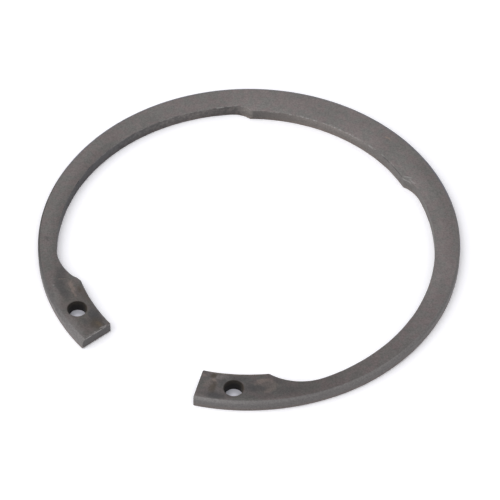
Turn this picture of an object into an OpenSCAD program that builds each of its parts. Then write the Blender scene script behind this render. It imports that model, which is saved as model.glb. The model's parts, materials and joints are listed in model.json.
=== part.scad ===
// Internal circlip: a spring steel retaining ring that is squeezed together with pliers and snaps
// into a groove inside a bore. It is stamped from sheet in one piece. The ring lies on z = 0, its
// centre is at the origin, the gap between the lugs faces -Y and the wide land faces +Y.

/* [Ring] */
// Outer diameter of the ring at rest, out of its groove
outer_d = 87.5; // [84:0.5:96]
// Thickness of the sheet
thickness = 2.5; // [2:0.1:4]

/* [Land] */
// Radial width of the stiff land opposite the gap
land_w = 7.1; // [6.6:0.1:8.5]
// Angle that the land spans
land_angle = 63.4; // [50:0.2:76]
// Radius of the hollow that leads from the land down to the band
step_r = 5.8; // [4.5:0.1:8]

/* [Band] */
// Radial width that the tapered band has on the centre line behind the land
band_back_w = 5.95; // [5.4:0.05:6.4]
// Radial width that the tapered band has on the centre line in the gap
band_front_w = 3.15; // [2.8:0.05:3.8]
// Radius of the hollow that leads from the band up to a lug
relief_r = 11.2; // [9:0.1:14]

/* [Lugs] */
// Radial width of a lug
lug_w = 7.35; // [6.9:0.05:9]
// Angle that a lug spans
lug_angle = 21.05; // [17:0.05:26]
// Angle of the open gap between the end faces
gap_angle = 35.5; // [24:0.5:44]
// Diameter of the hole for the pliers
hole_d = 4; // [2.5:0.1:4.5]
// Distance from the outer edge of the ring to the middle of the plier hole
hole_edge = 3.75; // [3.2:0.05:4.2]

/* [Edges] */
// Size of the rolled upper edge of the rim, where the sheet was drawn into the die
rim_roll = 0.7; // [0.3:0.05:1]
// Size of the rolled lower edge along the inner outline and the end faces
inner_roll = 0.25; // [0.1:0.05:0.3]
// Size of the light break on the edges where the shear came out
edge_break = 0.12; // [0.05:0.01:0.3]
// Size of the break at both mouths of a plier hole
hole_break = 0.12; // [0.05:0.01:0.3]
// Radius of the upright corners of the land and the lugs, seen from above
corner_r = 0.4; // [0.35:0.05:0.8]
// Angle at which a rolled edge leaves its face
roll_lead = 10; // [4:1:20]
// Longest facet of the curved inner wall
facet = 2; // [1:0.1:3]

/* [Hidden] */

steel = [0.27, 0.26, 0.25];
$fn = 240;
hole_fn = 96;

// Ring and blank
outer_r = outer_d / 2;
land_r = outer_r - land_w;
lug_r = outer_r - lug_w;

// The waste runs this far out of the blank, whose bore lies just inside the narrowest wall
clear = 1;
blank_bore_r = min(land_r, lug_r) - clear;

// The band thins towards the gap because its inner circle is shifted that way
band_shift = (band_back_w - band_front_w) / 2;
band_r = outer_r - (band_back_w + band_front_w) / 2;
band_centre = [0, -band_shift];
ring_centre = [0, 0];

// Directions from the centre of the ring to the sharp corners of the right half
land_end_a = 90 - land_angle / 2;
lug_end_a = -90 + gap_angle / 2;
lug_back_a = lug_end_a + lug_angle;
land_corner = land_r * ray(land_end_a);
lug_corner = lug_r * ray(lug_back_a);

// Both hollows pass through a corner and run smoothly into the inner circle of the band
step_centre = crossing(land_corner, step_r, band_centre, band_r - step_r);
relief_centre = crossing(band_centre, band_r - relief_r, lug_corner, relief_r);
step_a = heading(step_centre - band_centre);
relief_a = heading(relief_centre - band_centre);

// The upright corners are rounded about these centres, which lie in the sheet
land_round = crossing(ring_centre, land_r + corner_r, step_centre, step_r + corner_r);
lug_back_round = crossing(relief_centre, relief_r + corner_r, ring_centre, lug_r + corner_r);
lug_end_round = (lug_r + corner_r) * ray(lug_end_a + asin(corner_r / (lug_r + corner_r)));

function ray(a) = [cos(a), sin(a)];
function heading(v) = atan2(v[1], v[0]);

// Point at distance r1 from p1 and r2 from p2, on the left of the way from p1 to p2
function crossing(p1, r1, p2, r2) =
    let (span = norm(p2 - p1))
    let (along = (span * span + r1 * r1 - r2 * r2) / (2 * span))
    let (across = sqrt(r1 * r1 - along * along))
    let (way = (p2 - p1) / span)
    p1 + along * way + across * [-way[1], way[0]];

// Points on a bend of the wall, from one direction to another. A bend round a centre in the waste
// has a grow of 1 and widens as the wall is set back into the sheet, and one round a centre in the
// sheet has a grow of -1 and tightens.
function bend(centre, r, from_a, to_a, grow, set_back) =
    let (count = max(4, ceil(abs(to_a - from_a) / 360 * 2 * PI * r / facet)))
    [for (i = [0 : count]) centre + (r + grow * set_back) * ray(from_a + (to_a - from_a) * i / count)];

// Inner outline of the right half, from the middle of the land round to the far side of the rim.
// Each bend ends on the ray on which the next one begins, so the wall runs on smoothly.
function half_outline(set_back) = concat(
    bend(ring_centre, land_r, 90, heading(land_round), 1, set_back),
    bend(land_round, corner_r, heading(-land_round), heading(step_centre - land_round), -1, set_back),
    bend(step_centre, step_r, heading(land_round - step_centre), step_a, 1, set_back),
    bend(band_centre, band_r, step_a, relief_a, 1, set_back),
    bend(relief_centre, relief_r, relief_a, heading(lug_back_round - relief_centre), 1, set_back),
    bend(lug_back_round, corner_r, heading(relief_centre - lug_back_round), heading(-lug_back_round), -1,
        set_back),
    bend(ring_centre, lug_r, heading(lug_back_round), heading(lug_end_round), 1, set_back),
    bend(lug_end_round, corner_r, heading(-lug_end_round), 180 + gap_angle / 2, -1, set_back),
    [(outer_r / cos(gap_angle / 2) + clear) * ray(lug_end_a) + set_back * ray(gap_angle / 2)]
);

// Drops each point that only repeats the one before it
function distinct(points) =
    [for (i = [0 : len(points) - 1]) if (i == 0 || norm(points[i] - points[i - 1]) > 0.0001) points[i]];

// The right half and its mirror image, which starts again in the middle of the land
function outline(set_back) =
    let (right = distinct(half_outline(set_back)))
    concat(right, [for (i = [len(right) - 1 : -1 : 1]) [-right[i][0], right[i][1]]]);

// Quarter bend of an edge, from the wall to the face, as [set back, height above the face]
roll_steps = 3;
function edge_levels(size) =
    let (r = size / (cos(roll_lead) - sin(roll_lead)))
    let (middle = size + r * sin(roll_lead))
    [for (i = [0 : roll_steps])
        let (a = roll_lead + (90 - 2 * roll_lead) * i / roll_steps)
        [middle - r * cos(a), middle - r * sin(a)]];

// Levels of the waste, from below the sheet to above it, as [set back, height]
lower = edge_levels(inner_roll);
upper = edge_levels(edge_break);
levels = concat(
    [[inner_roll, -clear]],
    [for (i = [roll_steps : -1 : 0]) lower[i]],
    [for (i = [0 : roll_steps]) [upper[i][0], thickness - upper[i][1]]],
    [[edge_break, thickness + clear]]
);

// What is stamped out of the blank: the inside of the ring and the gap between the lugs
module waste() {
    rings = [for (level = levels) outline(level[0])];
    n = len(rings[0]);
    top = (len(levels) - 1) * n;
    walls = [for (k = [0 : len(levels) - 2]) for (i = [0 : n - 1])
        [k * n + i, k * n + (i + 1) % n, (k + 1) * n + (i + 1) % n, (k + 1) * n + i]];
    polyhedron(
        points = [for (k = [0 : len(levels) - 1]) for (p = rings[k]) [p[0], p[1], levels[k][1]]],
        faces = concat([[for (i = [n - 1 : -1 : 0]) i]], walls, [[for (i = [0 : n - 1]) top + i]])
    );
}

// What is cut off a corner of a section. The corner is at the origin and the sheet is at x, y > 0.
module broken_corner(size) {
    polygon([[0, size], [-clear, size], [-clear, -clear], [size, -clear], [size, 0]]);
}

module rolled_corner(size) {
    roll_r = size / (cos(roll_lead) - sin(roll_lead));
    difference() {
        broken_corner(size);
        translate([size, size] + roll_r * sin(roll_lead) * [1, 1]) circle(r = roll_r, $fn = hole_fn);
    }
}

// Washer that the ring is cut from, with the rolled and the broken edge of the rim
module blank() {
    rotate_extrude() difference() {
        translate([blank_bore_r, 0]) square([outer_r - blank_bore_r, thickness]);
        translate([outer_r, thickness]) rotate(180) rolled_corner(rim_roll);
        translate([outer_r, 0]) mirror([1, 0]) broken_corner(edge_break);
    }
}

// Bore for the tip of the pliers, with both mouths broken
module plier_hole() {
    hole_r = hole_d / 2;
    mouth_h = clear + hole_break;
    translate((outer_r - hole_edge) * ray(lug_end_a + lug_angle / 2)) {
        translate([0, 0, -clear]) cylinder(r = hole_r, h = thickness + 2 * clear, $fn = hole_fn);
        translate([0, 0, -clear]) cylinder(r1 = hole_r + mouth_h, r2 = hole_r, h = mouth_h, $fn = hole_fn);
        translate([0, 0, thickness - hole_break])
            cylinder(r1 = hole_r, r2 = hole_r + mouth_h, h = mouth_h, $fn = hole_fn);
    }
}

module retaining_ring() {
    color(steel) difference() {
        blank();
        waste();
        plier_hole();
        mirror([1, 0, 0]) plier_hole();
    }
}

retaining_ring();
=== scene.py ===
import json
import math
import bpy
import numpy as np
from mathutils import Matrix, Vector, noise


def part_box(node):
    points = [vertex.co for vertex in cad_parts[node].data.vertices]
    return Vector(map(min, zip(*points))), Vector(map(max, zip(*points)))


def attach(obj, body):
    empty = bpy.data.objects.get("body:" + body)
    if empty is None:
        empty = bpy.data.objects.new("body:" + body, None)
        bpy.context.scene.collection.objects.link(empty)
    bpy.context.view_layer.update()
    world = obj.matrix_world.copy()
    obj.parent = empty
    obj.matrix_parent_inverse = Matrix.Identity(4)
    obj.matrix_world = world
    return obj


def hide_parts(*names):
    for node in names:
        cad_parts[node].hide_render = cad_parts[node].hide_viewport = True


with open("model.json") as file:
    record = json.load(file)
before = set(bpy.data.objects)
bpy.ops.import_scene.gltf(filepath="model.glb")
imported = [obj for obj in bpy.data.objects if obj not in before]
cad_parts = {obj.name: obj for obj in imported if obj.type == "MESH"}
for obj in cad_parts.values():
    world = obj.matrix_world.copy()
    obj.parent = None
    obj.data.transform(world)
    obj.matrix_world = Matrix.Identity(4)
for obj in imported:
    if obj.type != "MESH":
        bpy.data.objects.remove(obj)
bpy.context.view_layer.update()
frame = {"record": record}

# The ring lies on z = 0 with its gap towards -Y. A bearing is a direction from its centre, in degrees
# clockwise from the middle of the land, seen from above. A side is -1 on the left and 1 on the right.
MM = 0.001
RAD = math.pi / 180

# Sizes that the frame gives
mounts = {mount["name"]: mount for mount in frame["record"]["mounts"]}
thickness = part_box("retaining_ring")[1].z
outer_r = mounts["rim"]["dims"]["r_mm"] * MM
hole_r = mounts["plier_hole_right"]["dims"]["r_mm"] * MM
hole_x, hole_y = mounts["plier_hole_right"]["pos_m"][:2]

# Plan of the ring, as in the part's own source
land_w = 7.1 * MM
land_angle = 63.4 * RAD
step_r = 5.8 * MM
band_back_w = 5.95 * MM
band_front_w = 3.15 * MM
relief_r = 11.2 * MM
lug_w = 7.35 * MM
lug_angle = 21.05 * RAD
gap_angle = 35.5 * RAD
corner_r = 0.4 * MM

# The ends of the lugs are a little sharper than that. No corner gets sharper than least_r.
lug_end_r = 0.3 * MM
rim_end_r = 0.2 * MM
least_r = 0.04 * MM

# The land's right corner is crushed, so it lies further back and leads down more gently. At its left
# corner, the wall of the step leans out by step_lean at its foot. It begins to do so below the top, at
# the share lean_start of the thickness.
crushed_angle = 60.8 * RAD
crushed_r = 7.8 * MM
step_lean = 0.4 * MM
lean_start = 0.2

# Edges of the cut walls. The lower edge of an end face has its own size on each side.
inner_roll = 0.25 * MM
end_rolls = {-1: 0.45 * MM, 1: 0.12 * MM}
edge_break = 0.1 * MM
roll_lead = 10 * RAD

# Faults of the inner outline. It wavers, the left lug has a nose at its back, and the right lug narrows
# to its end.
waver = 0.03 * MM
waver_length = 2.5 * MM
waver_apart = 7.3
nose_height = 0.16 * MM
nose_length = 1.9 * MM
end_narrowing = 0.1 * MM
narrowed_length = 8 * MM

# On the right the land bulges at its corner and the band is thin, and beside the left step the upper
# edge lies further back than the foot. Each fault has a size and a stretch of the outline: where it
# begins, is full, fades and ends, in millimetres from the middle of the land.
bulge, bulge_stretch = 0.1 * MM, [13, 18.3, 19.4, 20.4]
thinning, thin_stretch = 0.05 * MM, [46, 52, 82, 88]
overhang, overhang_stretch = 0.28 * MM, [20.6, 21.6, 24.5, 27.5]

# The rim at some bearings, in millimetres. The die drew its upper edge in, deepest at the end of the
# left lug, and its lower edge is worn. The left band swells a little, and the right one is a little
# flat. The last row is the roll of the inner outline's lower edge.
rim_bearings = [-163, -150, -132, -115, -102, -92, -60, 50, 66, 84, 100, 115, 138, 147, 163]
roll_widths = [0.85, 0.75, 0.50, 0.34, 0.37, 0.40, 0.49, 0.49, 0.49, 0.52, 0.56, 0.60, 0.60, 0.60, 0.52]
roll_heights = [1.10, 0.90, 0.60, 0.34, 0.37, 0.40, 0.49, 0.49, 0.49, 0.52, 0.56, 0.60, 0.60, 0.60, 0.55]
worn_feet = [0.25, 0.15, 0.12, 0.12, 0.12, 0.12, 0.12, 0.18, 0.30, 0.36, 0.38, 0.36, 0.34, 0.18, 0.05]
swellings = [0.0, 0.02, 0.08, 0.12, 0.07, 0.0, 0.0, 0.0, -0.07, -0.09, -0.05, 0.0, 0.0, 0.0, 0.04]
inner_rolls = [0.25, 0.25, 0.25, 0.25, 0.25, 0.25, 0.24, 0.05, 0.05, 0.08, 0.14, 0.25, 0.25, 0.25, 0.25]
deepest_roll = max(roll_heights) * MM

# The plier holes were punched a little off their places, and from below, so they narrow downwards
# between two heights
left_hole = np.array([-hole_x - 0.15 * MM, hole_y + 0.15 * MM])
right_hole = np.array([hole_x - 0.08 * MM, hole_y - 0.11 * MM])
hole_places = {-1: left_hole, 1: right_hole}
hole_break = 0.07 * MM
punch_taper = 0.22 * MM
taper_heights = [0.9 * MM, 2.3 * MM]

# Marks pressed into the upper face, an oval, a nick and a knock: place, length and width in
# millimetres, direction in degrees, depth in millimetres and sharpness of the border
pressed_marks = [
    (23.9, -31.3, 4.2, 2.9, 35, 0.05, 8),
    (13.9, -34.9, 0.9, 0.7, 0, 0.10, 4),
    (18.4, 32.8, 1.2, 0.8, -20, 0.07, 4),
]

# Fineness of the mesh: lengths of the steps round the plan, and numbers of points or rows
land_step = 0.38 * MM
band_step = 0.5 * MM
hollow_step = 0.25 * MM
lug_step = 0.26 * MM
corner_points = 4
across_points = 18
rim_rows, end_rows, middle_rows = 11, 7, 5
break_rows, foot_rows = 3, 2
hole_rows, bore_rows = 4, 6
least_row = 0.008 * MM

# How the mesh of a face meets the plier holes and the ends. A patch begins at least patch_margin from a
# hole's mouth and has its points at these shares of the way to it, up to mouth_margin. The shape of an
# end face reaches end_reach into the face.
patch_margin = 0.45 * MM
mouth_margin = 0.05 * MM
patch_shares = (0.35, 0.65, 0.88, 1.0)
end_reach = 1.0 * MM

land_r = outer_r - land_w
lug_r = outer_r - lug_w
band_shift = (band_back_w - band_front_w) / 2
band_r = outer_r - (band_back_w + band_front_w) / 2
ring_centre = np.zeros(2)
band_centre = np.array([0, -band_shift])
land_ends = {-1: (math.pi - land_angle) / 2, 1: (math.pi - crushed_angle) / 2}
step_rs = {-1: step_r, 1: crushed_r}
lug_end_a = gap_angle / 2 - math.pi / 2
lug_back_a = lug_end_a + lug_angle


def ray(angle):
    return np.array([math.cos(angle), math.sin(angle)])


def heading(vector):
    return math.atan2(vector[1], vector[0])


def crossing(p1, r1, p2, r2):
    """The point at r1 from p1 and r2 from p2, on the left of the way from p1 to p2."""
    way = p2 - p1
    span = math.hypot(*way)
    along = (span * span + r1 * r1 - r2 * r2) / (2 * span)
    across = math.sqrt(r1 * r1 - along * along)
    return p1 + (along * way + across * np.array([-way[1], way[0]])) / span


def step_middle(side, lean):
    """Centre of the hollow beside the land, when the wall of the step leans this far out."""
    land_corner = land_r * ray(land_ends[side] - lean / land_r)
    return crossing(land_corner, step_rs[side], band_centre, band_r - step_rs[side])


relief_centre = crossing(band_centre, band_r - relief_r, lug_r * ray(lug_back_a), relief_r)


def turn(start, end):
    """The short way round from one direction to another."""
    return (end - start + math.pi) % (2 * math.pi) - math.pi


def bend(centre, radius, start, end, count):
    """Points on an arc from one direction to another, without the last one."""
    angles = start + turn(start, end) * np.arange(count) / count
    return centre + radius * np.stack([np.cos(angles), np.sin(angles)], 1)


def rounding(radius, set_back):
    """Radius that is left of a corner at this set-back, and how far its centre lies in the sheet."""
    left = max(radius - set_back, least_r)
    return left, set_back + left


class Half:
    """Plan of one half of the ring, drawn on the right, with its walls set back into the sheet.

    The set-back of the rim is given in each direction of rim_angles, and the last one is at the end."""

    def __init__(self, side, cut_back, rim_back, end_back, lean=0.0):
        self.step_r = step_rs[side]
        self.step_centre = step_middle(side, lean)
        self.cut_back = cut_back
        self.rim_back = rim_back
        self.land_left, land_in = rounding(corner_r, cut_back)
        self.back_left, back_in = rounding(corner_r, cut_back)
        self.end_left, end_in = rounding(lug_end_r, cut_back)
        self.rim_left, rim_in = rounding(rim_end_r, end_back)
        self.land_round = crossing(ring_centre, land_r + land_in,
                                   self.step_centre, self.step_r + land_in)
        self.back_round = crossing(relief_centre, relief_r + back_in, ring_centre, lug_r + back_in)
        self.end_round = self.beside_end(lug_r + end_in, end_back + self.end_left)
        self.rim_round = self.beside_end(outer_r - rim_back[-1] - self.rim_left, rim_in)

    def beside_end(self, radius, inside):
        """A point at this radius and this far inside the end face."""
        return radius * ray(lug_end_a + math.asin(inside / radius))

    def arcs(self):
        """Centre, radius and directions of the arcs of the inner outline, from the middle of the land
        to the middle of the corner at the end of the lug."""
        step_a = heading(self.step_centre - band_centre)
        relief_a = heading(relief_centre - band_centre)
        land_out = heading(-self.land_round)
        land_in = heading(self.step_centre - self.land_round)
        back_in = heading(relief_centre - self.back_round)
        back_out = heading(-self.back_round)
        end_out = heading(-self.end_round)
        end_middle = end_out + turn(end_out, lug_end_a - math.pi / 2) / 2
        back = self.cut_back
        return [
            (ring_centre, land_r + back, math.pi / 2, heading(self.land_round)),
            (self.land_round, self.land_left, land_out, land_in),
            (self.step_centre, self.step_r + back, heading(self.land_round - self.step_centre), step_a),
            (band_centre, band_r + back, step_a, relief_a),
            (relief_centre, relief_r + back, relief_a, heading(self.back_round - relief_centre)),
            (self.back_round, self.back_left, back_in, back_out),
            (ring_centre, lug_r + back, heading(self.back_round), heading(self.end_round)),
            (self.end_round, self.end_left, end_out, end_middle),
        ]

    def inner(self, counts):
        """Points of the inner outline, so many on each arc, and its last point."""
        arcs = self.arcs()
        points = [bend(*arc, count) for arc, count in zip(arcs, counts)]
        centre, radius, start, end = arcs[-1]
        last = centre + radius * ray(end)
        return np.concatenate(points + [last[None]])

    def rim(self, angles):
        """Points of the rim in these directions, and then half of its corner."""
        radius = (outer_r - self.rim_back)[:, None]
        start = heading(self.rim_round)
        share = (angles - math.pi / 2) / (angles[-1] - math.pi / 2)
        turned = math.pi / 2 + share * (start - math.pi / 2)
        along = radius * np.stack([np.cos(turned), np.sin(turned)], 1)
        middle = start + turn(start, lug_end_a - math.pi / 2) / 2
        corner = bend(self.rim_round, self.rim_left, start, middle, corner_points)
        last = self.rim_round + self.rim_left * ray(middle)
        return np.concatenate([along[:-1], corner, last[None]])

    def end(self):
        """Across the end face, from the middle of its inner corner to the middle of its outer one."""
        face = lug_end_a - math.pi / 2
        out = heading(-self.end_round)
        middle = out + turn(out, face) / 2
        first = bend(self.end_round, self.end_left, middle, face, corner_points)
        start = heading(self.rim_round)
        middle = start + turn(start, face) / 2
        last = bend(self.rim_round, self.rim_left, face, middle, corner_points)
        inner_end = self.end_round + self.end_left * ray(face)
        rim_end = self.rim_round + self.rim_left * ray(face)
        share = (np.arange(across_points) / across_points)[:, None]
        straight = inner_end + share * (rim_end - inner_end)
        corner_middle = self.rim_round + self.rim_left * ray(middle)
        return np.concatenate([first, straight, last, corner_middle[None]])


def plain_half(side):
    """Half of the plan, with nothing set back."""
    return Half(side, 0, np.zeros(1), 0)


def arc_counts():
    """Numbers of points on the arcs of the inner outline. The corners all have the same number."""
    steps = [land_step, None, hollow_step, band_step, hollow_step, None, lug_step, None]
    made = []
    for (centre, radius, start, end), step in zip(plain_half(-1).arcs(), steps):
        length = radius * abs(turn(start, end))
        made.append(max(corner_points, math.ceil(length / step)) if step else corner_points)
    return made


# The sixth arc is the corner at the back of the lug
counts = arc_counts()
lug_back_index = sum(counts[:5])

# The rim has its points in the same directions, as far as the corner at the end of the lug
plain_inners = {side: plain_half(side).inner(counts) for side in (-1, 1)}
inner_angles = np.arctan2(plain_inners[-1][:, 1], plain_inners[-1][:, 0])
rim_angles = inner_angles[:-corner_points]


def into_hollow(side):
    """The direction into the hollow at each point of the inner outline, and the length of the way there
    from the middle of the land."""
    plain = plain_inners[side]
    ways = np.gradient(plain, axis=0)
    into = np.stack([ways[:, 1], -ways[:, 0]], 1) / np.linalg.norm(ways, axis=1)[:, None]
    run = np.concatenate([[0], np.cumsum(np.linalg.norm(np.diff(plain, axis=0), axis=1))])
    return into, run


def over_stretch(run, stretch):
    """1 in the middle of a stretch of the outline, 0 outside it."""
    return np.interp(run / MM, stretch, [0, 1, 1, 0])


def nudge(side):
    """Small shifts of the inner outline into the hollow, at all heights alike."""
    into, run = into_hollow(side)
    places = [Vector((at / waver_length, side * waver_apart, 0)) for at in run]
    shift = waver * np.array([noise.noise(place) for place in places])
    if side < 0:
        share = np.clip((run[lug_back_index] - run) / nose_length, 0, 1)
        shift += nose_height * 4 * share * (1 - share)
    else:
        shift -= end_narrowing * np.clip(1 - (run[-1] - run) / narrowed_length, 0, 1) ** 0.5
        shift -= thinning * over_stretch(run, thin_stretch)
        shift += bulge * over_stretch(run, bulge_stretch)
    return into * shift[:, None]


nudges = {side: nudge(side) for side in (-1, 1)}


def roll_back(depth, size, width=None):
    """How far a rolled edge is set back at this depth below its face."""
    radius = size / (math.cos(roll_lead) - math.sin(roll_lead))
    middle = size + radius * math.sin(roll_lead)
    inside = np.maximum(0.0, radius ** 2 - (middle - depth) ** 2)
    back = np.where(depth < size, np.maximum(0.0, middle - np.sqrt(inside)), 0.0)
    return back * (1 if width is None else width / size)


def rim_edge(values, side):
    """A size of the rim's edge in each direction of rim_angles, on one side of the ring."""
    bearings = side * (90 - rim_angles / RAD)
    return np.interp(bearings, rim_bearings, values) * MM


def inner_edge(side):
    """Size of the lower edge's roll at each point of the inner outline, on one side of the ring."""
    plain = plain_inners[side]
    bearings = side * np.arctan2(plain[:, 0], plain[:, 1]) / RAD
    return np.interp(bearings, rim_bearings, inner_rolls) * MM


def half_plan(side, height):
    """Inner outline, rim and end face of one half at this height, drawn on the right.

    The inner outline is set back by inner_roll everywhere, and then shifted to its own roll."""
    below_top = thickness - height
    top_back = float(roll_back(below_top, edge_break))
    cut_back = top_back + float(roll_back(height, inner_roll))
    end_back = top_back + float(roll_back(height, end_rolls[side]))
    roll = roll_back(below_top, rim_edge(roll_heights, side), rim_edge(roll_widths, side))
    foot = roll_back(height, rim_edge(worn_feet, side))
    rim_back = roll + foot - rim_edge(swellings, side)
    into, run = into_hollow(side)
    shift = roll_back(height, inner_roll) - roll_back(height, inner_edge(side))
    lean = 0.0
    if side < 0:
        lean = step_lean * max(0.0, (below_top / thickness - lean_start) / (1 - lean_start))
        shift -= overhang * over_stretch(run, overhang_stretch) * height / thickness
    half = Half(side, cut_back, rim_back, end_back, lean)
    inner = half.inner(counts) + nudges[side] + into * shift[:, None]
    end = half.end()
    fade = np.linspace(1, 0, len(end)) ** 2
    end = end + (inner[-1] - end[0]) * fade[:, None]
    return inner, half.rim(rim_angles), end


def plan(height):
    """Inner outline and rim from the left end to the right end, and both end faces outwards."""
    mirror = np.array([-1, 1])
    left_inner, left_rim, left_end = (points * mirror for points in half_plan(-1, height))
    right_inner, right_rim, right_end = half_plan(1, height)
    inner = np.concatenate([left_inner[:0:-1], right_inner])
    rim = np.concatenate([left_rim[:0:-1], right_rim])
    return inner, rim, left_end, right_end


def roll_depths(size, rows):
    """Depths below the face at which a rolled edge gets its points."""
    radius = size / (math.cos(roll_lead) - math.sin(roll_lead))
    middle = size + radius * math.sin(roll_lead)
    angles = [roll_lead + (math.pi / 2 - 2 * roll_lead) * i / rows for i in range(rows + 1)]
    return [max(0.0, middle - radius * math.cos(math.pi / 2 - a)) for a in angles]


def levels():
    """Heights of the rows of points on the walls, from the upper face down."""
    top = roll_depths(deepest_roll, rim_rows) + roll_depths(edge_break, break_rows)
    bottom = roll_depths(end_rolls[-1], end_rows) + roll_depths(edge_break, foot_rows)
    middle = np.linspace(deepest_roll, thickness - end_rolls[-1], middle_rows + 1)[1:-1]
    heights = [thickness - depth for depth in top] + [thickness - m for m in middle] + bottom
    heights = sorted(set(round(h, 8) for h in heights), reverse=True)
    kept = [heights[0]]
    for height in heights[1:]:
        if kept[-1] - height > least_row:
            kept.append(height)
    kept[-1] = 0.0
    return kept


class Shell:
    """Gathers the points, marks and faces of the ring."""

    def __init__(self):
        self.points = []
        self.faces = []
        self.marks = {"rim": [], "cut": [], "bore": [], "edge": []}

    def add(self, points, **marks):
        first = len(self.points)
        self.points.extend(map(tuple, points))
        for name, values in self.marks.items():
            values.extend(np.broadcast_to(marks.get(name, 0.0), len(points)))
        return first + np.arange(len(points))

    def strip(self, upper, lower, closed=True):
        """Faces between two rows of points."""
        ends = len(upper) if closed else len(upper) - 1
        for i in range(ends):
            j = (i + 1) % len(upper)
            self.faces.append((upper[i], upper[j], lower[j], lower[i]))


def flat_points(points, height):
    return np.column_stack([points, np.full(len(points), height)])


def build_walls(shell):
    """The rows of points round the rim, the end faces and the inner outline."""
    rows = []
    for height in levels():
        inner, rim, left_end, right_end = plan(height)
        last = len(left_end) - 1
        edge = max(0.0, 1 - (thickness - height) / (2 * edge_break))
        ids = {
            "rim": shell.add(flat_points(rim, height), rim=1.0),
            "right": shell.add(flat_points(right_end[last - 1:0:-1], height), cut=1.0, edge=edge),
            "inner": shell.add(flat_points(inner[::-1], height), cut=1.0, edge=edge),
            "left": shell.add(flat_points(left_end[1:last], height), cut=1.0, edge=edge),
        }
        rows.append(ids)
    loops = [np.concatenate([ids[k] for k in ("rim", "right", "inner", "left")]) for ids in rows]
    for upper, lower in zip(loops, loops[1:]):
        shell.strip(upper, lower)
    return rows


def build_face(shell, row, height, holes=None):
    """The flat face inside one row of the walls, with a place left open round each plier hole.

    The upper face chooses these places, and the lower face is given them."""
    upper = holes is None
    inner, rim, left_end, right_end = plan(height)
    stations = len(inner)
    lanes = len(left_end)
    share = np.linalg.norm(right_end - right_end[0], axis=1)
    share = share / share[-1]
    ids = np.zeros((stations, lanes), int)
    ids[:, 0] = row["inner"][::-1]
    ids[:, -1] = row["rim"]
    ids[0, 1:-1] = row["left"]
    ids[-1, 1:-1] = row["right"][::-1]
    grid = inner[:, None] + share[None, :, None] * (rim - inner)[:, None]
    for end, at, way in ((left_end, 0, 1), (right_end, stations - 1, -1)):
        drift = end - grid[at]
        for k in range(stations // 4):
            i = at + way * k
            gap = np.linalg.norm(rim[i] - rim[at])
            grid[i] += drift * max(0.0, 1 - gap / end_reach)
    if upper:
        holes = [hole_patch(grid, side) for side in (-1, 1)]
    keep = np.ones((stations, lanes), bool)
    for i0, i1, j0, j1 in holes:
        keep[i0 + 1:i1, j0 + 1:j1] = False
    inside = np.zeros_like(keep)
    inside[1:-1, 1:-1] = True
    inside &= keep
    flat = flat_points(grid[inside], height)
    if upper:
        flat[:, 2] -= dents(flat)
    ids[inside] = shell.add(flat)
    for i in range(stations - 1):
        for j in range(lanes - 1):
            if any(i0 <= i < i1 and j0 <= j < j1 for i0, i1, j0, j1 in holes):
                continue
            quad = (ids[i, j], ids[i + 1, j], ids[i + 1, j + 1], ids[i, j + 1])
            shell.faces.append(quad if upper else quad[::-1])
    return [patch_edge(ids, grid, hole) for hole in holes], holes


def dents(points):
    """How deep the upper face is pressed in at each point."""
    depth = np.zeros(len(points))
    for x, y, length, width, angle, deep, sharp in pressed_marks:
        along, across = ray(angle * RAD), ray(angle * RAD + math.pi / 2)
        off = points[:, :2] / MM - (x, y)
        away = np.hypot(off @ along / (length / 2), off @ across / (width / 2))
        depth += deep * MM / (1 + away ** sharp)
    return depth


def hole_patch(grid, side):
    """Stations and lanes of the mesh round one plier hole."""
    centre = hole_places[side]
    distance = np.linalg.norm(centre)
    reach = hole_r + hole_break + patch_margin
    angles = np.arctan2(grid[:, 0, 1], grid[:, 0, 0])
    along = turn(heading(centre), angles) * distance
    close = np.nonzero(np.abs(along) < reach)[0]
    i0, i1 = close[0] - 1, close[-1] + 1
    radii = np.linalg.norm(grid[(i0 + i1) // 2], axis=1)
    j0 = np.nonzero(radii < distance - reach)[0][-1]
    j1 = np.nonzero(radii > distance + reach)[0][0]
    return i0, i1, j0, j1


def patch_edge(ids, grid, hole):
    """The points round the place left open for a plier hole, as ids and as places on the plan."""
    i0, i1, j0, j1 = hole
    cells = [(i, j0) for i in range(i0, i1)]
    cells += [(i1, j) for j in range(j0, j1)]
    cells += [(i, j1) for i in range(i1, i0, -1)]
    cells += [(i0, j) for j in range(j1, j0, -1)]
    return np.array([ids[c] for c in cells]), np.array([grid[c] for c in cells])


def bore_radius(height):
    narrowed = hole_r - punch_taper * np.interp(height, taper_heights, [1, 0])
    return narrowed + roll_back(height, hole_break) + roll_back(thickness - height, hole_break)


def build_holes(shell, upper_edges, lower_edges):
    """The flat round each plier hole and the wall of its bore."""
    depths = roll_depths(hole_break, hole_rows)
    straight = np.linspace(thickness - hole_break, hole_break, bore_rows + 1)[1:-1]
    heights = [thickness - depth for depth in depths] + list(straight) + depths[::-1]
    for side, upper, lower in zip((-1, 1), upper_edges, lower_edges):
        centre = hole_places[side]
        above = upper[1] - centre
        below = lower[1] - centre
        angles = np.arctan2(above[:, 1], above[:, 0])
        circle = np.stack([np.cos(angles), np.sin(angles)], 1)
        upper_mouth = (hole_r + hole_break + mouth_margin) * circle
        lower_mouth = upper_mouth - punch_taper * circle
        rings = [(above + share * (upper_mouth - above), thickness, 0.0) for share in patch_shares]
        rings += [(bore_radius(height) * circle, height, 1.0) for height in heights]
        rings += [(below + share * (lower_mouth - below), 0.0, 0.0) for share in patch_shares[::-1]]
        loops = [upper[0]]
        for points, height, bore in rings:
            loops.append(shell.add(flat_points(centre + points, height), bore=bore))
        loops.append(lower[0])
        for upper_loop, lower_loop in zip(loops, loops[1:]):
            shell.strip(upper_loop, lower_loop)


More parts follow.
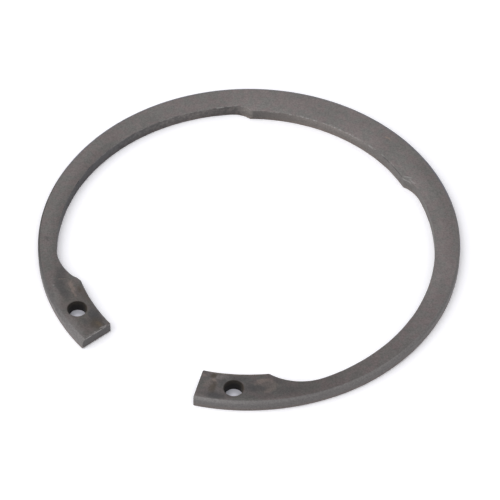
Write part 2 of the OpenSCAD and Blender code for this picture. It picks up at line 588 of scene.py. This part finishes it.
def build_ring(material):
    """The whole ring as one mesh."""
    shell = Shell()
    rows = build_walls(shell)
    upper_edges, holes = build_face(shell, rows[0], thickness)
    lower_edges, holes = build_face(shell, rows[-1], 0.0, holes)
    build_holes(shell, upper_edges, lower_edges)
    mesh = bpy.data.meshes.new("stamped_ring")
    mesh.from_pydata(shell.points, [], [tuple(int(v) for v in face) for face in shell.faces])
    mesh.validate()
    mesh.shade_smooth()
    for name, values in shell.marks.items():
        mark = mesh.attributes.new(name, "FLOAT", "POINT")
        mark.data.foreach_set("value", np.array(values, np.float32))
    mesh.materials.append(material)
    ring = bpy.data.objects.new("stamped_ring", mesh)
    bpy.context.scene.collection.objects.link(ring)
    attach(ring, "root")
    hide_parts("retaining_ring")
    return ring


class Signal:
    """A node socket. Arithmetic on it adds Math nodes to its tree."""

    def __init__(self, nodes, socket):
        self.nodes = nodes
        self.socket = socket

    def beside(self, name):
        """Another output of the same node."""
        return Signal(self.nodes, self.socket.node.outputs[name])

    def math(self, operation, *others):
        return self.nodes.math(operation, self, *others)

    def __add__(self, other):
        return self.math("ADD", other)

    __radd__ = __add__

    def __mul__(self, other):
        return self.math("MULTIPLY", other)

    __rmul__ = __mul__

    def __sub__(self, other):
        return self.math("SUBTRACT", other)

    def __rsub__(self, other):
        return self.nodes.math("SUBTRACT", other, self)

    def __truediv__(self, other):
        return self.math("DIVIDE", other)

    def __rtruediv__(self, other):
        return self.nodes.math("DIVIDE", other, self)

    def ramp(self, low, high, from_value=0.0, to_value=1.0):
        """A smooth change from one value to another between two levels of the signal."""
        return self.nodes.node("ShaderNodeMapRange", {"interpolation_type": "SMOOTHSTEP"},
                               {"Value": self, "From Min": low, "From Max": high,
                                "To Min": from_value, "To Max": to_value})

    def window(self, low, high, soft):
        """1 between two levels of the signal and 0 outside them."""
        return self.ramp(low - soft, low + soft) * self.ramp(high - soft, high + soft, 1.0, 0.0)


class Nodes:
    """A node tree and the one method that adds its nodes."""

    def __init__(self, owner):
        owner.use_nodes = True
        self.tree = owner.node_tree
        self.tree.nodes.clear()

    def node(self, kind, settings=None, sockets=None, output=0):
        made = self.tree.nodes.new(kind)
        for name, value in (settings or {}).items():
            if name == "stops":
                self.set_stops(made.color_ramp, value)
            else:
                setattr(made, name, value)
        for name, value in (sockets or {}).items():
            if isinstance(value, Signal):
                self.tree.links.new(value.socket, made.inputs[name])
            else:
                made.inputs[name].default_value = value
        return Signal(self, made.outputs[output]) if made.outputs else None

    def set_stops(self, ramp, stops):
        while len(ramp.elements) < len(stops):
            ramp.elements.new(0.5)
        for element, (position, colour) in zip(ramp.elements, stops):
            element.position = position
            element.color = colour

    def math(self, operation, *terms):
        return self.node("ShaderNodeMath", {"operation": operation}, dict(enumerate(terms)))

    def mix(self, factor, first, second, blend="MIX"):
        """A colour between two others."""
        return self.node("ShaderNodeMix", {"data_type": "RGBA", "blend_type": blend},
                         {0: factor, 6: first, 7: second}, output=2)

    def tint(self, factor, base, colour):
        """A colour multiplied by another."""
        return self.mix(factor, base, colour, "MULTIPLY")

    def scaled(self, colour, factor):
        """A colour made lighter or darker by a signal."""
        shade = self.node("ShaderNodeCombineColor", {}, {0: factor, 1: factor, 2: factor})
        return self.tint(1.0, colour, shade)

    def grain(self, place, size, detail=2.0, roughness=0.5):
        """Noise whose features are about this size in metres, from 0 to 1."""
        return self.node("ShaderNodeTexNoise", {"noise_dimensions": "3D"},
                         {"Vector": place, "Scale": 1 / size, "Detail": detail, "Roughness": roughness})

    def mark(self, name):
        """A value that the mesh carries at its points."""
        return self.node("ShaderNodeAttribute", {"attribute_name": name}, output=2)

    def seen_straight(self):
        """1 for what the camera sees, straight, in a mirror or through glass."""
        ray_kind = self.node("ShaderNodeLightPath")
        mirrored = ray_kind.beside("Is Glossy Ray")
        through = ray_kind.beside("Is Transmission Ray")
        return (ray_kind + mirrored + through).math("MINIMUM", 1.0)


def grey(value):
    return (value, value, value, 1.0)


# Colours of the phosphate and of what stains it. The oil black also paints shade in a crease of the rim,
# and the bore's black is painted shade.
warm_phosphate = (0.166, 0.143, 0.140, 1)
green_phosphate = (0.146, 0.140, 0.134, 1)
rim_phosphate = (0.134, 0.127, 0.125, 1)
far_rim_phosphate = (0.122, 0.124, 0.150, 1)
oil_and_shade_black = (0.043, 0.042, 0.044, 1)
oil_brown = (0.056, 0.045, 0.035, 1)
edge_brown = (0.130, 0.100, 0.082, 1)
bore_black = (0.012, 0.011, 0.011, 1)
bore_brown = (0.086, 0.070, 0.054, 1)
rust = (0.140, 0.098, 0.058, 1)
bare_pink = (0.205, 0.160, 0.138, 1)
pale_worn = (0.330, 0.320, 0.315, 1)

# Warm tints at the foot of the walls
wall_foot_tint = (1.14, 1.06, 1.02, 1)
rim_foot_tint = (1.10, 1.00, 0.95, 1)

# How pale the upper face is at each bearing, as a grey or a tint
paleness = [
    (-165, 0.64), (-150, 0.68), (-130, 0.79), (-110, 0.91), (-90, 0.90), (-70, 0.95), (-50, 0.93),
    (-30, 1.07), (-10, 0.97), (10, 0.99), (30, 0.86), (50, 0.865), (70, (0.925, 0.905, 0.915, 1)),
    (90, (0.838, 0.817, 0.830, 1)), (110, (0.728, 0.703, 0.711, 1)), (130, (0.545, 0.532, 0.530, 1)),
    (150, 0.56), (165, 0.61),
]

# How pale the rim is at each bearing, on its wall and on its rolled upper edge. The pale front left and
# the pale roll of the right lug are painted light, and the dark stretch at the far left is painted shade.
rim_paleness_light_and_shade = [
    (-180, 1.33), (-148, 1.34), (-142, 1.18), (-134, 0.92), (-128, 0.56), (-106, 0.52), (-96, 0.95),
    (40, 1.00), (60, 1.10), (95, 1.08), (110, 1.03), (120, 1.07), (130, 1.03), (140, 0.93), (150, 1.03),
    (180, 1.08),
]
roll_paleness_light_and_shade = [
    (-180, 1.35), (-160, 1.28), (-155, 1.18), (-150, 0.96), (-145, 0.83), (-136, 0.78), (-128, 0.50),
    (-106, 0.50), (-96, 0.95), (40, 1.00), (60, 0.97), (90, 1.00), (110, 1.11), (120, 1.05), (130, 0.99),
    (140, 1.02), (150, 1.16), (158, 1.30), (180, 1.32),
]

# Colour of the cut walls at each bearing
wall_colours = [
    (-180, (0.096, 0.091, 0.091, 1)), (-155, (0.096, 0.091, 0.091, 1)), (-125, (0.080, 0.076, 0.076, 1)),
    (-112, (0.049, 0.047, 0.049, 1)), (-100, (0.048, 0.046, 0.049, 1)), (-90, (0.068, 0.065, 0.070, 1)),
    (-75, (0.088, 0.084, 0.085, 1)), (-52, (0.129, 0.117, 0.112, 1)), (-44, (0.107, 0.097, 0.093, 1)),
    # The pale stops at -34.2 and -32.5 are a painted highlight on the flank of the left step
    (-35.9, (0.106, 0.096, 0.092, 1)), (-34.2, (0.178, 0.160, 0.150, 1)), (-32.5, (0.194, 0.175, 0.163, 1)),
    (-31.4, (0.100, 0.092, 0.088, 1)), (-28, (0.110, 0.100, 0.096, 1)), (-23, (0.134, 0.120, 0.113, 1)),
    (-15, (0.160, 0.144, 0.135, 1)), (-5, (0.168, 0.151, 0.142, 1)), (5, (0.163, 0.147, 0.138, 1)),
    (15, (0.158, 0.145, 0.138, 1)), (25, (0.154, 0.143, 0.136, 1)), (34, (0.147, 0.137, 0.130, 1)),
    (180, (0.116, 0.110, 0.106, 1)),
]

# Stains on the upper face: place on the plan, length and width in millimetres, direction in degrees,
# softness of the border, colour and strength
stains = [
    # Left lug
    (-20.5, -33.6, 19.0, 5.6, -35, 0.5, oil_brown, 0.27),
    (-27.2, -29.2, 4.2, 2.0, -42, 0.6, oil_and_shade_black, 0.55),
    (-25.6, -31.9, 4.4, 2.2, -38, 0.6, oil_and_shade_black, 0.60),
    (-23.3, -33.2, 2.6, 1.6, -35, 0.6, oil_and_shade_black, 0.55),
    (-19.6, -31.2, 6.5, 1.3, -31, 0.7, oil_brown, 0.45),
    (-22.9, -31.2, 4.2, 0.6, -36, 0.6, bare_pink, 0.55),
    (-24.0, -30.2, 1.4, 0.8, -35, 0.6, bare_pink, 0.28),
    (-21.8, -30.7, 1.4, 0.8, -30, 0.6, oil_brown, 0.75),
    (-26.3, -30.0, 1.8, 0.35, 40, 0.5, bare_pink, 0.35),
    (-26.7, -32.4, 0.4, 0.4, 0, 0.5, pale_worn, 0.35),
    (-14.6, -34.8, 5.4, 2.0, -32, 0.6, oil_and_shade_black, 0.72),
    (-14.7, -35.6, 3.4, 1.8, -50, 0.6, oil_and_shade_black, 0.72),
    (-15.9, -36.9, 2.2, 1.4, -30, 0.6, oil_and_shade_black, 0.40),
    (-13.6, -36.2, 3.0, 2.4, -25, 0.7, oil_brown, 0.82),
    (-13.1, -36.0, 1.5, 0.9, -20, 0.6, rust, 0.26),
    (-16.6, -39.5, 7.0, 1.6, -27, 0.8, pale_worn, 0.20),
    (-24.5, -34.6, 8.0, 1.2, -42, 0.8, pale_worn, 0.10),
    (-11.9, -36.1, 1.5, 0.40, 72, 0.5, pale_worn, 0.45),
    (-12.7, -38.8, 3.4, 0.20, 72, 0.5, pale_worn, 0.25),
    # Right lug
    (20.0, -34.2, 18.0, 5.0, 28, 0.4, oil_and_shade_black, 0.13),
    (12.2, -35.7, 1.1, 0.6, 20, 0.6, bare_pink, 0.38),
    (15.5, -34.2, 3.0, 1.2, 30, 0.6, warm_phosphate, 0.55),
    (13.8, -34.9, 1.0, 1.2, 20, 0.5, oil_brown, 0.95),
    (14.6, -35.6, 0.9, 0.5, 10, 0.6, bare_pink, 0.62),
    (13.8, -36.9, 2.4, 1.2, 70, 0.6, bare_pink, 0.22),
    (15.2, -37.4, 1.3, 3.0, 20, 0.6, oil_brown, 0.80),
    (16.8, -38.8, 3.6, 1.7, 22, 0.6, oil_and_shade_black, 0.78),
    (18.2, -32.9, 4.6, 1.2, 25, 0.7, oil_and_shade_black, 0.48),
    (16.2, -35.2, 1.4, 1.9, 20, 0.7, oil_and_shade_black, 0.50),
    (23.9, -31.3, 4.9, 3.5, 35, 0.20, bare_pink, 0.27),
    (23.7, -31.4, 3.3, 2.0, 35, 0.40, oil_and_shade_black, 0.30),
    (23.0, -32.7, 3.2, 1.7, 30, 0.6, oil_and_shade_black, 0.72),
    (21.3, -33.6, 2.6, 1.6, 30, 0.6, oil_and_shade_black, 0.40),
    (22.6, -30.7, 2.0, 0.9, 40, 0.6, bare_pink, 0.22),
    (25.2, -29.2, 2.0, 1.0, 10, 0.6, oil_and_shade_black, 0.45),
    (28.5, -29.6, 4.5, 1.6, 42, 0.8, oil_and_shade_black, 0.30),
    # Band and land
    (-35.3, -22.6, 1.3, 0.9, -60, 0.6, oil_and_shade_black, 0.40),
    (9.63, 40.11, 1.7, 0.4, -15, 0.5, bare_pink, 0.95),
    (18.5, 32.9, 1.0, 0.5, -20, 0.5, oil_and_shade_black, 0.40),
    (18.8, 32.5, 1.8, 0.45, 22, 0.5, pale_worn, 0.45),
    (20.4, 32.0, 1.9, 0.45, -12, 0.5, pale_worn, 0.38),
]


def bearing_stops(pairs):
    """Stops of a colour ramp over all bearings."""
    stops = []
    for bearing, colour in pairs:
        stops.append((bearing / 360 + 0.5, colour if isinstance(colour, tuple) else grey(colour)))
    return stops


class Steel(Nodes):
    """Matt dark phosphate on tumbled spring steel."""

    def __init__(self, owner):
        super().__init__(owner)
        self.place = self.node("ShaderNodeTexCoord", output=3)
        self.speckle = self.grain(self.place, 0.34 * MM, detail=3.0, roughness=0.65)
        self.mottle = self.grain(self.place, 1.7 * MM, detail=3.0, roughness=0.6)
        self.cloud = self.grain(self.place, 7 * MM, detail=2.0)
        self.chips = self.grain(self.place, 0.55 * MM).ramp(0.47, 0.60)
        parts = self.node("ShaderNodeSeparateXYZ", {}, {0: self.place})
        self.x = parts / MM
        self.y = parts.beside("Y") / MM
        self.z = parts.beside("Z") / MM
        self.bearing = self.x.math("ARCTAN2", self.y) / RAD
        swirl = self.grain(self.place, 1.3 * MM).beside("Color")
        drift = (1.2 * MM, 1.2 * MM, 0)
        half_drift = (-0.6 * MM, -0.6 * MM, 0)
        start = self.node("ShaderNodeVectorMath", {"operation": "ADD"}, {0: self.place, 1: half_drift})
        self.ragged = self.node("ShaderNodeVectorMath", {"operation": "MULTIPLY_ADD"},
                                {0: swirl, 1: drift, 2: start})

    def spot(self, x, y, length, width, angle, soft):
        """A patch with ragged borders."""
        own = self.node("ShaderNodeMapping", {"vector_type": "TEXTURE"},
                        {"Vector": self.ragged, "Location": (x * MM, y * MM, 0),
                         "Rotation": (0, 0, angle * RAD),
                         "Scale": (length / 2 * MM, width / 2 * MM, 1)})
        away = self.node("ShaderNodeVectorMath", {"operation": "LENGTH"}, {0: own}, output=1)
        return away.ramp(1 - soft, 1 + soft, 1.0, 0.0)

    def by_bearing(self, pairs):
        """A colour that changes with the bearing."""
        stops = bearing_stops(pairs)
        return self.node("ShaderNodeValToRGB", {"stops": stops}, {0: self.bearing / 360 + 0.5})

    def flat_face(self):
        """Warm and greenish grey, palest on the land, with the stains.

        The inner side of the face is darker on the left and paler on the right, and the right lug has a
        painted highlight along the rim. The land's margin is chipped, and that of the right lug is brown."""
        colour = self.mix(self.mottle.ramp(0.40, 0.60), warm_phosphate, green_phosphate)
        colour = self.tint(1.0, colour, self.by_bearing(paleness))
        radius = (self.x * self.x + self.y * self.y).math("SQRT")
        land_inside = radius.ramp(36.6, 42.0, 1.12, 0.97) - 1
        colour = self.scaled(colour, self.y.ramp(24.0, 33.0) * land_inside + 1)
        inside = radius.ramp(39.8, 42.0, 1.0, 0.0)
        colour = self.scaled(colour, self.bearing.window(-134, -80, 8) * inside * -0.20 + 1)
        colour = self.scaled(colour, self.bearing.window(26, 82, 8) * inside * 0.16 + 1)
        # Painted highlight along the rim of the right lug
        outside = radius.ramp(42.3, 43.3)
        colour = self.scaled(colour, self.bearing.window(134, 176, 9) * outside * 0.34 + 1)
        colour = self.scaled(colour, self.cloud.ramp(0.3, 0.7, 0.95, 1.05))
        top = self.z.ramp(1.6, 2.2)
        for *shape, stain, strength in stains:
            colour = self.mix(self.spot(*shape) * top * strength, colour, stain)
        land_margin = radius.ramp(36.8, 37.2, 1.0, 0.0) * self.bearing.window(-22, 24, 4)
        colour = self.mix(land_margin * self.chips * 0.32, colour, pale_worn)
        lug_margin = radius.ramp(36.5, 36.95, 1.0, 0.0) * self.bearing.window(142, 160, 1.5)
        return self.mix(lug_margin * 0.7, colour, edge_brown)

    def cut_wall(self):
        """Darker than the faces, warmer at its foot, paler up under the land's edge and with blotches in
        the left band. There it is painted darker towards its foot as shade, and paler higher up."""
        colour = self.by_bearing(wall_colours)
        colour = self.tint(self.z.ramp(0.2, 1.1, 1.0, 0.0), colour, wall_foot_tint)
        upper = self.bearing.window(-18, 10, 5) * self.z.ramp(1.2, 2.0) * 0.20
        colour = self.scaled(colour, upper + 1)
        blotched_and_shaded = self.bearing.window(-84, -33, 5)
        # Painted shade: the left band's wall darker towards its foot and paler higher up
        colour = self.scaled(colour, blotched_and_shaded * self.z.ramp(0.6, 1.8, -0.10, 0.14) + 1)
        blotches = self.grain(self.place, 0.9 * MM).ramp(0.58, 0.44)
        colour = self.mix(blotched_and_shaded * blotches * 0.45, colour, oil_and_shade_black)
        return self.scaled(colour, self.cloud.ramp(0.3, 0.7, 0.94, 1.06))

    def rim_wall(self):
        """Paler than the cut walls, a little bluish at the back, with painted light and shade by bearing
        and a painted dark line of shade in a crease on the left.
        """
        rolled = self.z.ramp(1.6, 2.2)
        behind = self.bearing.window(-95, 42, 8) * rolled
        colour = self.mix(behind, rim_phosphate, far_rim_phosphate)
        colour = self.tint(self.z.ramp(0.3, 1.4, 1.0, 0.0), colour, rim_foot_tint)
        # Painted light and shade by bearing, on the wall and on its rolled upper edge
        pale = self.mix(rolled, self.by_bearing(rim_paleness_light_and_shade), self.by_bearing(roll_paleness_light_and_shade))
        colour = self.tint(1.0, colour, pale)
        # A painted dark line of shade in the crease where the rim's roll meets its wall, on the left
        crease = self.z.window(1.72, 1.98, 0.10) * self.bearing.window(-150, -108, 6)
        return self.mix(crease * self.mottle.ramp(0.35, 0.5) * 0.6, colour, oil_and_shade_black)

    def bore_wall(self):
        """Painted nearly black as shade, and browner towards its right and its upper mouth."""
        from_middle = self.x - self.x.math("SIGN") * (hole_x / MM)
        browner = from_middle.ramp(-0.2, 1.8) * 0.75 + self.z.ramp(1.1, 2.5) * 0.35
        return self.mix(browner.math("MINIMUM", 1.0), bore_black, bore_brown)

    def edge_lines(self, colour):
        """The upper edge of the cut walls: pale where it is worn, dark where it is dirty, brown on the
        right lug."""
        edge = self.mark("edge")
        worn = self.bearing.window(29.5, 33, 0.6) * 0.7 + self.bearing.window(-180, -157, 0.5) * 0.8
        worn = worn + self.bearing.window(-122, -35, 6) * 0.22
        worn = worn + self.bearing.window(-44, -32, 1.5) * 0.4
        chipped = self.bearing.window(-29.5, -20, 1.5) * 0.45 + self.bearing.window(-20, 13, 1.5) * 0.90
        worn = worn * self.mottle.ramp(0.38, 0.52) + chipped * self.chips
        colour = self.mix((edge * worn).math("MINIMUM", 1.0), colour, pale_worn)
        dirty = self.bearing.window(18, 29, 1.0) * self.mottle.ramp(0.46, 0.58) * 0.8
        dirty = dirty + self.bearing.window(-156, -141, 1.5) * 0.5
        colour = self.mix(edge * dirty, colour, oil_and_shade_black)
        return self.mix(edge * self.bearing.window(142, 161, 1.5) * 0.8, colour, edge_brown)


def phosphated_steel():
    material = bpy.data.materials.new("phosphated_steel")
    steel = Steel(material)
    colour = steel.mix(steel.mark("cut"), steel.flat_face(), steel.cut_wall())
    colour = steel.mix(steel.mark("rim"), colour, steel.rim_wall())
    colour = steel.edge_lines(colour)
    colour = steel.mix(steel.mark("bore"), colour, steel.bore_wall())
    colour = steel.scaled(colour, steel.speckle.ramp(0.25, 0.75, 0.77, 1.23))
    relief = steel.node("ShaderNodeBump", {},
                        {"Strength": 0.3, "Distance": 0.05 * MM, "Height": steel.speckle})
    roughness = steel.speckle.ramp(0.2, 0.8, 0.50, 0.66)
    shader = steel.node("ShaderNodeBsdfPrincipled", {},
                        {"Base Color": colour, "Roughness": roughness, "Metallic": 0.1,
                         "Specular IOR Level": 0.3, "Normal": relief})
    steel.node("ShaderNodeOutputMaterial", {}, {"Surface": shader})
    return material


# The table as it is seen, in the open and in the painted shade inside the plier holes, and as it lights the
# ring
open_white = (1.153, 1.150, 1.178, 1)
shaded_white = (1.19, 1.19, 1.30, 1)
plain_white = (0.8, 0.8, 0.8, 1)


def white_table():
    """A white table top that is seen as blown out, apart from the shadow at the ring. Inside the plier
    holes it is painted grey and bluish as shade, palest in their middle."""
    material = bpy.data.materials.new("white_table")
    table = Nodes(material)
    place = table.node("ShaderNodeTexCoord", output=3)
    shade = 1.0
    for centre in hole_places.values():
        off = table.node("ShaderNodeVectorMath", {"operation": "DISTANCE"},
                         {0: place, 1: (*centre, 0)}, output=1)
        # Painted shade on the table inside each plier hole, palest in its middle
        painted_hole_shade = off.ramp(0.2 * MM, 1.3 * MM, 0.74, 0.50)
        shade = (off.ramp(hole_r * 0.9, hole_r * 1.2, 0.0, 0.50) + painted_hole_shade) * shade
    white = table.mix(shade.ramp(0.8, 1.0), shaded_white, open_white)
    matt = {"Roughness": 1.0, "Specular IOR Level": 0.0}
    plain = table.node("ShaderNodeBsdfPrincipled", {}, {"Base Color": plain_white, **matt})
    bright = table.node("ShaderNodeBsdfPrincipled", {},
                        {"Base Color": table.scaled(white, shade), **matt})
    mixed = table.node("ShaderNodeMixShader", {}, {0: table.seen_straight(), 1: plain, 2: bright})
    table.node("ShaderNodeOutputMaterial", {}, {"Surface": mixed})
    return material


def lay_table():
    """The table, a hair below the ring."""
    size = 3.0
    drop = -0.01 * MM
    mesh = bpy.data.meshes.new("table")
    corners = [(-size, -size, drop), (size, -size, drop), (size, size, drop), (-size, size, drop)]
    mesh.from_pydata(corners, [], [(0, 1, 2, 3)])
    mesh.materials.append(white_table())
    table = bpy.data.objects.new("table", mesh)
    bpy.context.scene.collection.objects.link(table)


def outwards(azimuth, elevation):
    """The direction from the ring at this azimuth, from -Y towards +X, and elevation in degrees."""
    turned, raised = azimuth * RAD, elevation * RAD
    level = math.cos(raised)
    return Vector((math.sin(turned) * level, -math.cos(turned) * level, math.sin(raised)))


def light_studio():
    """A white room and three softboxes. The strongest stands in front of the ring, to the left."""
    world = bpy.data.worlds.new("white_room")
    bpy.context.scene.world = world
    room = Nodes(world)
    soft = room.node("ShaderNodeBackground", {}, {"Color": (0.98, 0.98, 1.0, 1), "Strength": 0.60})
    shown = room.node("ShaderNodeBackground", {}, {"Color": (1, 1, 1, 1), "Strength": 1.0})
    mixed = room.node("ShaderNodeMixShader", {}, {0: room.seen_straight(), 1: soft, 2: shown})
    room.node("ShaderNodeOutputWorld", {}, {"Surface": mixed})
    softbox("left_softbox", azimuth=-34, elevation=44, distance=0.9, size=0.9, level=0.36)
    softbox("right_softbox", azimuth=44, elevation=44, distance=0.9, size=0.9, level=0.18)
    softbox("top_softbox", azimuth=0, elevation=76, distance=1.0, size=0.7, level=0.16)


def softbox(name, azimuth, elevation, distance, size, level):
    """A square lamp facing the ring. A white surface that faces it shows this level."""
    light = bpy.data.lights.new(name, "AREA")
    light.shape = "SQUARE"
    light.size = size
    light.energy = level * (math.pi * distance) ** 2
    lamp = bpy.data.objects.new(name, light)
    bpy.context.scene.collection.objects.link(lamp)
    way = outwards(azimuth, elevation)
    lamp.location = way * distance
    lamp.rotation_euler = way.to_track_quat("Z", "Y").to_euler()


def place_camera():
    """Camera at the photo's angle, distance and focal length."""
    azimuth, elevation = 32.411, 48.480
    roll = 0.171 * RAD
    target = Vector((0.699, -0.855, 0.0)) * MM
    distance = 620.9 * MM
    sensor = 36.0
    focal_share = 5.9759
    back = outwards(azimuth, elevation)
    level = outwards(azimuth + 90, 0)
    upright = back.cross(level)
    right = level * math.cos(roll) + upright * math.sin(roll)
    up = upright * math.cos(roll) - level * math.sin(roll)
    turned = Matrix((right, up, back)).transposed().to_4x4()
    data = bpy.data.cameras.new("camera")
    data.sensor_width = sensor
    data.lens = sensor * focal_share
    data.clip_start = 0.01
    data.clip_end = 20
    camera = bpy.data.objects.new("camera", data)
    bpy.context.scene.collection.objects.link(camera)
    camera.matrix_world = Matrix.Translation(target + back * distance) @ turned
    bpy.context.scene.camera = camera


place_camera()
light_studio()
lay_table()
build_ring(phosphated_steel())
bpy.context.scene.view_settings.view_transform = "Standard"
